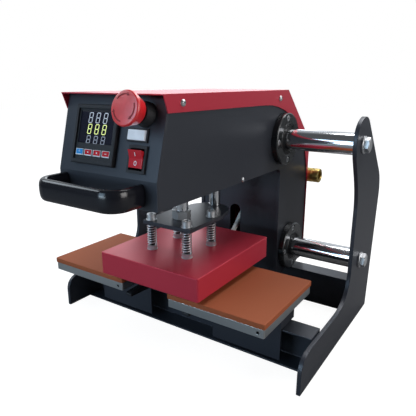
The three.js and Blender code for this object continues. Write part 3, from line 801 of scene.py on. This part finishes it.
# ---------- control panel fittings ----------
# Middle of each fitting on the panel's slope: X along it and Z up it.
CONTROLLER = (-20, 44.5)
STOP = (51, 71)
ROCKER = (47.5, 22)


def digit(width, height, stroke):
    """A seven-segment eight, as segment outlines about its middle."""
    w, h = width / 2 - stroke / 2, height / 2 - stroke / 2
    lean, trim = 0.1, stroke * 0.16
    bars = [((-w, z), (w, z)) for z in (-h, 0, h)]
    bars += [((x, z0), (x, z0 + h)) for x in (-w, w) for z0 in (-h, 0)]
    shapes = []
    for (x0, z0), (x1, z1) in bars:
        along = Vector((x1 - x0, z1 - z0)).normalized()
        out = Vector((-along.y, along.x)) * stroke / 2
        a, b = Vector((x0, z0)) + along * trim, Vector((x1, z1)) - along * trim
        tip = along * stroke / 2
        outline = [a, a + tip - out, b - tip - out, b, b - tip + out, a + tip + out]
        shapes.append([(p.x + lean * p.y, p.y) for p in outline])
    return shapes


class HEATPRESS_OT_controller(Operator):
    """Build the temperature controller: case, window, digits and keys"""
    bl_idname = "heatpress.controller"
    bl_label = "Controller"
    rows = (("upper_digits", 64.0, 12.6), ("middle_digits", 50.8, 11.8), ("lower_digits", 38.4, 9.6))
    digit_places = (-30.8, -18.8, -6.8)
    half, case_out, window_out, stroke = 35, 6, 3.2, 0.95

    def execute(self, context):
        edge = context.scene.press_sizes.moulding_edge / MM
        case = moved(copy_of("controller_case", "controller_housing"), SLOPE.inverted())
        only(case)
        bpy.ops.object.mode_set(mode="EDIT")
        x, z = CONTROLLER

        def outer(e):
            p = middle(e)
            away = max(abs(p.x - x), abs(p.z - z))
            return abs(p.y + self.case_out) < 0.05 and abs(away - self.half) < 0.05
        pick("edges", outer)
        bpy.ops.mesh.bevel(offset=2.2, segments=2, affect="EDGES")
        bpy.ops.object.mode_set(mode="OBJECT")
        settle(round_edges(moved(case, SLOPE), 0.3), "head", "matte_black_plastic", "controller_case")
        softened("controller_window", "display_glass", "head", "display_window", edge)
        self.digits(context.scene.press_sizes.digit_width / MM)
        self.keys(edge)
        return {"FINISHED"}

    def digits(self, width):
        out = self.window_out
        for row, z, height in self.rows:
            figures = [cut_out("bar", [(x + px, z + pz) for px, pz in outline], -out - 0.16, -out + 0.1)
                       for x in self.digit_places for outline in digit(width, height, self.stroke)]
            settle(moved(joined(f"display_{row}", *figures), SLOPE), "head", row)

    def keys(self, edge):
        marks = {1: [(0, 0, 3.0, 0.55), (0, 1.3, 1.8, 0.5)], 2: [(0, 0, 1.5, 1.5)], 4: [(0, 0, 3.4, 0.9)]}
        for number in range(1, 5):
            node, body = f"controller_key_{number}", f"key_{number}"
            softened(node, f"key_cap_{number}", body, "white_plastic", edge)
            local = [SLOPE.inverted() @ (TO_WORKSHOP @ v.co) for v in frame["nodes"][node].data.vertices]
            low = Vector([min(p[i] for p in local) for i in range(3)])
            high = Vector([max(p[i] for p in local) for i in range(3)])
            centre = (low + high) / 2
            inlay = block(f"key_inlay_{number}", (low.x + 1.1, low.y - 0.25, low.z + 1.3),
                          (high.x - 0.5, low.y + 0.2, high.z - 0.5))
            finish = "blue_plastic" if number == 1 else "red_plastic"
            settle(moved(round_edges(inlay, 0.18), SLOPE), body, finish)
            face, mark_x, mark_z = low.y - 0.25, centre.x + 0.3, centre.z + 0.4
            if number == 3:
                parts = [cylinder("dot", (mark_x, face, mark_z), 1.0, -0.05, 0.12, "-Y", sides=24)]
            else:
                parts = [block("mark", (mark_x + x - w / 2, face - 0.12, mark_z + z - h / 2),
                               (mark_x + x + w / 2, face + 0.05, mark_z + z + h / 2))
                         for x, z, w, h in marks[number]]
            settle(moved(joined(f"key_mark_{number}", *parts), SLOPE), body, "white_print")


class HEATPRESS_OT_stop_button(Operator):
    """Turn the stop button with its collar and raised arrows"""
    bl_idname = "heatpress.stop_button"
    bl_label = "Stop button"
    face, arrow_radius, arrow_width = 36, 14.2, 1.25

    def execute(self, context):
        x, z = STOP
        f = self.face
        cap = turned("mushroom_cap", [
            (0, 17.4), (13.9, 17.4), (14.5, 18), (16, 23), (17.6, 28), (18.7, 31), (19, 32), (19.05, 33),
            (18.7, 34.2), (18.1, 34.9), (17.2, 35.3), (11, 35.7), (5, 35.92), (0, f)],
            sides=96)
        place = SLOPE @ Matrix.Translation((x, 0, z)) @ ALONG["-Y"]
        settle(moved(cap, place), "stop_button", "stop_plastic", "stop_button", smooth=50)
        arrow = self.arrow()
        for number in range(3):
            turn = Matrix.Rotation(math.radians(120 * number - 20), 4, "Y")
            # The arrows' darker red is painted shade of grooves, not a second colour of plastic.
            settle(twin(arrow, f"stop_arrow_{number + 1}", SLOPE @ Matrix.Translation((x, 0, z)) @ turn),
                   "stop_button", "arrow_red")
        bpy.data.objects.remove(arrow)
        collar = turned("stop_collar_ring", [
            (8.5, -23.8), (11, -23.8), (11, 0.3), (13.4, 0.3), (14, 0.9), (14, 3.6), (13.2, 5), (11.9, 9.6),
            (11.3, 11.6), (10.6, 12), (8.5, 12)], sides=64)
        settle(moved(collar, place), "head", "matte_black_plastic", "stop_collar")
        repaint("stop_stem", "matte_black_plastic")
        return {"FINISHED"}

    def arrow(self):
        """A curved arrow lying on the button's face, pointing clockwise."""
        r, w, steps, sweep = self.arrow_radius, self.arrow_width / 2, 12, math.radians(62)

        def at(radius, angle):
            return radius * math.sin(angle), radius * math.cos(angle)
        angles = [sweep * (i / steps - 0.5) for i in range(steps + 1)]
        tip = sweep / 2 + math.radians(13)
        outline = [at(r + w, a) for a in angles]
        outline += [at(r + 2.6 * w, sweep / 2), at(r, tip), at(r - 2.6 * w, sweep / 2)]
        outline += [at(r - w, a) for a in reversed(angles)]
        return cut_out("arrow", outline, -self.face + 0.02, -self.face + 0.75)


class HEATPRESS_OT_switches(Operator):
    """Build the lamp and the rocker switch with their rims and marks"""
    bl_idname = "heatpress.switches"
    bl_label = "Lamp and rocker"

    def execute(self, context):
        edge = context.scene.press_sizes.moulding_edge / MM
        softened("lamp_rim", "lamp_bezel", "head", "matte_black_plastic", edge)
        softened("lamp_button", "lamp_lens", "lamp_button", "lens_white", 0.9, 3)
        softened("rocker_rim", "rocker_bezel", "head", "matte_black_plastic", edge)
        softened("power_rocker", "rocker_paddle", "power_rocker", "red_plastic", 0.5, 2, 12)
        x, z = ROCKER
        upper = Matrix.Translation((x, -6.25, z + 5.35)) @ Matrix.Rotation(math.atan2(4.5, 9.1), 4, "X")
        lower = Matrix.Translation((x, -3.75, z - 4.4)) @ Matrix.Rotation(math.atan2(0.5, 10.4), 4, "X")
        line = block("rocker_on_mark", (-0.45, -0.12, -2.2), (0.45, 0.1, 2.2))
        settle(moved(line, SLOPE @ upper), "power_rocker", "white_print")
        ring = turned("rocker_off_mark", [(1.5, -0.1), (2.35, -0.1), (2.35, 0.12), (1.5, 0.12)], sides=32)
        settle(moved(ring, SLOPE @ lower @ Matrix.Diagonal((0.85, 1, 1.15, 1)) @ ALONG["-Y"]), "power_rocker",
               "white_print")
        return {"FINISHED"}


# ---------- press ----------
class HEATPRESS_OT_heated_platen(Operator):
    """Round the heated platen's edges and build the spreader plate above it"""
    bl_idname = "heatpress.heated_platen"
    bl_label = "Heated platen and spreader"

    def execute(self, context):
        sizes = context.scene.press_sizes
        softened("heated_platen", "red_heated_block", "platen", "red_powder_coat", sizes.block_edge / MM, 3)
        softened("spreader_plate", "painted_spreader", "spreader", "black_powder_coat", sizes.plate_edge / MM)
        return {"FINISHED"}


class HEATPRESS_OT_rods(Operator):
    """Turn the cylinder rod and the guide rod, and cut the rod nut"""
    bl_idname = "heatpress.rods"
    bl_label = "Rods and nut"
    thread, core, pitch, rod, piston, piston_tall = 8, 7.2, 1.5, 10, 31, 12
    nut_flats, nut_turn = 24, 0.25

    def execute(self, context):
        nut_low, nut_high = mm_box("rod_nut")
        low, high = mm_box("cylinder_rod")
        self.cylinder_rod(nut_low, nut_high, low.z, high.z)
        self.nut(nut_low, nut_high)
        low, high = mm_box("guide_rod")
        r = (high.x - low.x) / 2
        settle(turned("polished_guide", [
            (0, low.z), (r - 0.6, low.z), (r, low.z + 0.6), (r, low.z + 3), (r - 0.7, low.z + 3.4),
            (r - 0.7, low.z + 4.6), (r, low.z + 5), (r, high.z - 2), (r - 2, high.z), (0, high.z)],
            self.axis(low, high)), "spreader", "chromed_shaft", "guide_rod")
        return {"FINISHED"}

    def axis(self, low, high):
        return (low.x + high.x) / 2, (low.y + high.y) / 2, 0

    def cylinder_rod(self, nut_low, nut_high, low, high):
        thread, rod, piston = self.thread, self.rod, self.piston
        shoulder, crown = nut_high.z + GAP, high - self.piston_tall
        outline, z = [(0, low), (self.core, low)], low + 0.4
        while z + self.pitch < nut_low.z - 0.2:
            outline += [(thread, z), (thread, z + self.pitch * 0.4), (self.core + 0.2, z + self.pitch * 0.7)]
            z += self.pitch
        settle(turned("polished_rod", outline + [
            (thread, z), (thread, shoulder), (rod - 0.8, shoulder), (rod, shoulder + 0.8),
            (rod, crown), (piston - 0.6, crown), (piston, crown + 0.6), (piston, high - 0.6),
            (piston - 0.6, high), (0, high)],
            self.axis(nut_low, nut_high)), "spreader", "chromed_shaft", "cylinder_rod")

    def nut(self, low, high):
        nut = carve(hexagon("bright_rod_nut", self.nut_flats, low.z, high.z, both=True),
                    cylinder("bore", (0, 0, 0), self.thread + 0.2, low.z - 1, high.z + 1))
        place = Matrix.Translation(self.axis(low, high)) @ Matrix.Rotation(self.nut_turn, 4, "Z")
        settle(moved(nut, place), "spreader", "zinc_plate", "rod_nut")


class HEATPRESS_OT_platen_bolts(Operator):
    """Make the four cap screws with their washers, lock nuts and springs"""
    bl_idname = "heatpress.platen_bolts"
    bl_label = "Platen bolts and springs"
    head, shank, washer, nut_flats = 6.5, 4, 8, 12.6

    def execute(self, context):
        sizes = context.scene.press_sizes
        wire, turns = sizes.spring_wire / MM, sizes.spring_turns
        top_of_block = mm_box("heated_platen")[1].z
        shank = bolt = spring = None
        for row in ("front", "rear"):
            for side, _ in SIDES:
                node, spring_node = f"platen_bolt_{row}_{side}", f"platen_spring_{row}_{side}"
                low, high = mm_box(node)
                foot, head = mm_box(spring_node)
                place = Matrix.Translation(((low.x + high.x) / 2, (low.y + high.y) / 2, 0))
                if bolt is None:
                    shank, bolt = self.bolt(low.z, high.z, top_of_block, foot.z)
                    spring = self.spring(foot.z, head.z, (head.x - foot.x) / 2 - 0.02, wire, turns)
                settle(twin(bolt, f"cap_screw_{row}_{side}", place), "platen", "zinc_plate", node)
                # The shank's dark finish is painted shade between the spring's coils.
                settle(twin(shank, f"screw_shank_{row}_{side}", place), "platen", "dark_screw")
                coil = settle(twin(spring, f"spring_{row}_{side}", place), "platen", "zinc_plate",
                              spring_node, smooth=60)
                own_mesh(coil)
        for tool in (shank, bolt, spring):
            bpy.data.objects.remove(tool)
        return {"FINISHED"}

    def bolt(self, low, high, block_top, spring_foot):
        seat, s = high - 8, self.shank
        shank = turned("shank", [(0, low), (s - 0.6, low), (s, low + 0.6), (s, seat + 0.2), (0, seat + 0.2)],
                       sides=32)
        top = moved(cap_screw("cap", self.head * 2, 8, 6), Matrix.Translation((0, 0, seat)))
        foot = block_top + GAP
        nut = hexagon("nut", self.nut_flats, foot + 1.1, spring_foot - GAP, both=True)
        return shank, joined("bolt", top, self.ring(seat - 1.3, 1.3, self.washer),
                             self.ring(foot, 1.2, self.washer - 0.2), nut)

    def ring(self, low, tall, radius):
        """A washer with rounded rims."""
        rim = radius - 0.2
        return turned("washer", [(0, low), (rim, low), (radius, low + 0.2), (radius, low + tall - 0.2),
                                 (rim, low + tall), (0, low + tall)], sides=48)

    def spring(self, low, high, outer, wire, turns):
        clear_bench()
        bpy.ops.mesh.primitive_circle_add(vertices=10, radius=wire / 2, rotation=(math.pi / 2, 0, 0),
                                          location=(outer - wire / 2, 0, low + wire / 2))
        coil = named("coil")
        screw = coil.modifiers.new("coil", "SCREW")
        screw.iterations, screw.steps, screw.render_steps = turns, 20, 20
        screw.screw_offset = (high - low - wire) / turns
        bpy.ops.object.modifier_apply(modifier=screw.name)
        bpy.ops.object.mode_set(mode="EDIT")
        bpy.ops.mesh.select_all(action="SELECT")
        bpy.ops.mesh.remove_doubles(threshold=0.002)
        bpy.ops.mesh.fill_holes(sides=0)
        close_shape()
        bpy.ops.object.mode_set(mode="OBJECT")
        return coil


class HEATPRESS_OT_heater_cable(Operator):
    """Run the heater cable from the back of the platen up into the column"""
    bl_idname = "heatpress.heater_cable"
    bl_label = "Heater cable"
    route = ((18, 135.3, 138), (18, 147, 138), (17, 160, 136), (15.5, 172, 134.5), (13.5, 184, 135.5),
             (12, 194, 140.5), (12.5, 201, 149), (16, 206, 160), (21, 209, 172), (26, 211, 184),
             (28, 212, 198), (28, 212, 212))
    diameter, steps = 8.5, 6

    def line(self):
        """Points of a smooth line through the route."""
        points = [Vector(p) for p in self.route]
        ends = [points[0] * 2 - points[1], *points, points[-1] * 2 - points[-2]]
        line = []
        for a, b, c, d in zip(ends, ends[1:], ends[2:], ends[3:]):
            for i in range(self.steps):
                t = i / self.steps
                line.append((2 * b + (c - a) * t + (2 * a - 5 * b + 4 * c - d) * t ** 2
                             + (3 * b - a - 3 * c + d) * t ** 3) / 2)
        return line + [points[-1]]

    def execute(self, context):
        line = self.line()
        clear_bench()
        curve = bpy.data.curves.new("woven_cable", "CURVE")
        curve.dimensions, curve.bevel_depth, curve.bevel_resolution = "3D", self.diameter / 2, 6
        curve.use_fill_caps = True
        spline = curve.splines.new("POLY")
        spline.points.add(len(line) - 1)
        for point, place in zip(spline.points, line):
            point.co = (*place, 1)
        cable = bpy.data.objects.new("woven_cable", curve)
        bpy.context.collection.objects.link(cable)
        only(cable)
        bpy.ops.object.convert(target="MESH")
        cable = bpy.context.object
        bpy.ops.object.mode_set(mode="EDIT")
        close_shape()
        bpy.ops.object.mode_set(mode="OBJECT")
        settle(cable, None, "cable_sleeve", "heater_cable", smooth=50, ride=False)
        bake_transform(cable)
        return {"FINISHED"}


# ---------- studio ----------
class HEATPRESS_OT_studio(Operator):
    """Set up the floor, the soft lights and the camera"""
    bl_idname = "heatpress.studio"
    bl_label = "Studio"

    # Each light: its place, its aim, its width and height, and its colour.
    lights = {
        "top": ((0.25, 0.85, 1.75), (0, 0.02, 0.2), (1.1, 1.1), (1, 1, 1)),
        "right": ((1.8, 0.1, 0.7), (0, 0, 0.22), (1, 1), (1, 0.98, 0.96)),
        "left": ((-0.7, -2.35, 0.9), (0, -0.1, 0.3), (1.3, 1.3), (0.55, 0.78, 1)),
        "back": ((-1.05, 1.5, 0.75), (0, 0, 0.2), (1.2, 1.2), (0.9, 0.95, 1)),
        "window": ((-1.5, -0.62, 1.35), (0, -0.1, 0.25), (1, 0.6), (0.82, 0.92, 1)),
        "strip": ((-0.3, -1.6, 0.3), (0.1, 0, 0.3), (0.9, 0.22), (0.72, 0.88, 1)),
    }
    bright_way = (-0.45, 0.85, 0.1)

    def execute(self, context):
        studio = context.scene.press_studio
        self.floor(studio)
        for name in self.lights:
            self.light(name, getattr(studio, f"{name}_light"))
        self.room(context.scene, studio)
        self.camera(context.scene, studio)
        context.scene.view_settings.view_transform = "Standard"
        return {"FINISHED"}

    def floor(self, studio):
        """A pale floor that the camera sees a little brighter than the light on it makes it."""
        clear_bench()
        bpy.ops.mesh.primitive_plane_add(size=12, location=(0, 0, -0.0005))
        floor = bpy.context.object
        floor.name = "studio_floor"
        bpy.ops.object.mode_set(mode="EDIT")
        bpy.ops.mesh.subdivide(number_cuts=8)
        bpy.ops.object.mode_set(mode="OBJECT")
        paint = mixed("studio_floor", *tones(studio.floor, 0.99), patch=0.5, grain=30,
                      rough=(0.8, 0.9), relief=0, Specular_IOR_Level=0.1, Emission_Color=(1, 1, 1, 1))
        tree = paint.node_tree
        glow = tree.nodes.new("ShaderNodeMath")
        glow.operation = "MULTIPLY"
        glow.inputs[1].default_value = studio.floor_glow
        tree.links.new(tree.nodes.new("ShaderNodeLightPath").outputs["Is Camera Ray"], glow.inputs[0])
        tree.links.new(glow.outputs["Value"], tree.nodes["Principled BSDF"].inputs["Emission Strength"])
        floor.data.materials.append(paint)

    def room(self, scene, studio):
        """A white backdrop, and soft room light that is brightest behind the press."""
        world = bpy.data.worlds.new("studio")
        scene.world = world
        world.use_nodes = True
        nodes, links = world.node_tree.nodes, world.node_tree.links
        seen, room = nodes["Background"], nodes.new("ShaderNodeBackground")
        seen.inputs["Color"].default_value = (1, 1, 1, 1)
        seen.inputs["Strength"].default_value = 1
        room.inputs["Color"].default_value = (0.88, 0.94, 1, 1)
        facing, level = nodes.new("ShaderNodeVectorMath"), nodes.new("ShaderNodeMapRange")
        facing.operation = "DOT_PRODUCT"
        facing.inputs[1].default_value = Vector(self.bright_way).normalized()
        links.new(nodes.new("ShaderNodeTexCoord").outputs["Generated"], facing.inputs[0])
        level.interpolation_type = "SMOOTHSTEP"
        level.inputs["From Min"].default_value, level.inputs["From Max"].default_value = 0.1, 0.95
        level.inputs["To Min"].default_value = studio.dim_side
        level.inputs["To Max"].default_value = studio.bright_side
        links.new(facing.outputs["Value"], level.inputs["Value"])
        links.new(level.outputs["Result"], room.inputs["Strength"])
        mix = nodes.new("ShaderNodeMixShader")
        links.new(nodes.new("ShaderNodeLightPath").outputs["Is Camera Ray"], mix.inputs["Fac"])
        links.new(room.outputs["Background"], mix.inputs[1])
        links.new(seen.outputs["Background"], mix.inputs[2])
        links.new(mix.outputs["Shader"], nodes["World Output"].inputs["Surface"])

    def camera(self, scene, studio):
        lens = bpy.data.cameras.new("camera")
        lens.lens, lens.sensor_width = studio.lens, 36
        camera = bpy.data.objects.new("camera", lens)
        bpy.context.collection.objects.link(camera)
        camera.location = studio.camera_place
        camera.rotation_euler = Vector(studio.camera_aim).to_track_quat("-Z", "Y").to_euler()
        scene.camera = camera

    def light(self, name, watts):
        place, aim, (width, height), tone = self.lights[name]
        lamp = bpy.data.lights.new(f"{name}_light", "AREA")
        lamp.shape = "RECTANGLE"
        lamp.size, lamp.size_y, lamp.energy, lamp.color = width, height, watts, tone
        light = bpy.data.objects.new(lamp.name, lamp)
        bpy.context.collection.objects.link(light)
        light.location = place
        light.rotation_euler = (Vector(aim) - Vector(place)).to_track_quat("-Z", "Y").to_euler()


STEPS = (
    HEATPRESS_OT_finishes, HEATPRESS_OT_studio, HEATPRESS_OT_heater_cable, HEATPRESS_OT_frame_plates,
    HEATPRESS_OT_shafts, HEATPRESS_OT_shaft_bolts, HEATPRESS_OT_lower_platens, HEATPRESS_OT_silicone_pads,
    HEATPRESS_OT_lock_levers, HEATPRESS_OT_head_plates, HEATPRESS_OT_head_cover, HEATPRESS_OT_bearings,
    HEATPRESS_OT_air_inlet, HEATPRESS_OT_handle, HEATPRESS_OT_controller, HEATPRESS_OT_stop_button,
    HEATPRESS_OT_switches, HEATPRESS_OT_heated_platen, HEATPRESS_OT_rods, HEATPRESS_OT_platen_bolts,
)


class HEATPRESS_PT_sidebar(Panel):
    """Settings and steps of the heat press"""
    bl_idname = "HEATPRESS_PT_sidebar"
    bl_label = "Heat press"
    bl_space_type = "VIEW_3D"
    bl_region_type = "UI"
    bl_category = "Heat press"

    def draw(self, context):
        for settings in (context.scene.press_sizes, context.scene.press_colours, context.scene.press_studio):
            box = self.layout.box()
            for name in settings.__annotations__:
                box.prop(settings, name)
        for step in STEPS:
            self.layout.operator(step.bl_idname)


CLASSES = (PressSizes, PressColours, StudioSettings, *STEPS, HEATPRESS_PT_sidebar)


def register():
    for cls in CLASSES:
        bpy.utils.register_class(cls)
    bpy.types.Scene.press_sizes = PointerProperty(type=PressSizes)
    bpy.types.Scene.press_colours = PointerProperty(type=PressColours)
    bpy.types.Scene.press_studio = PointerProperty(type=StudioSettings)


def unregister():
    for name in ("press_studio", "press_colours", "press_sizes"):
        delattr(bpy.types.Scene, name)
    for cls in reversed(CLASSES):
        bpy.utils.unregister_class(cls)


def main():
    register()
    for step in STEPS:
        group, name = step.bl_idname.split(".")
        getattr(getattr(bpy.ops, group), name)()
    bpy.context.view_layer.update()


if __name__ == "__main__":
    main()
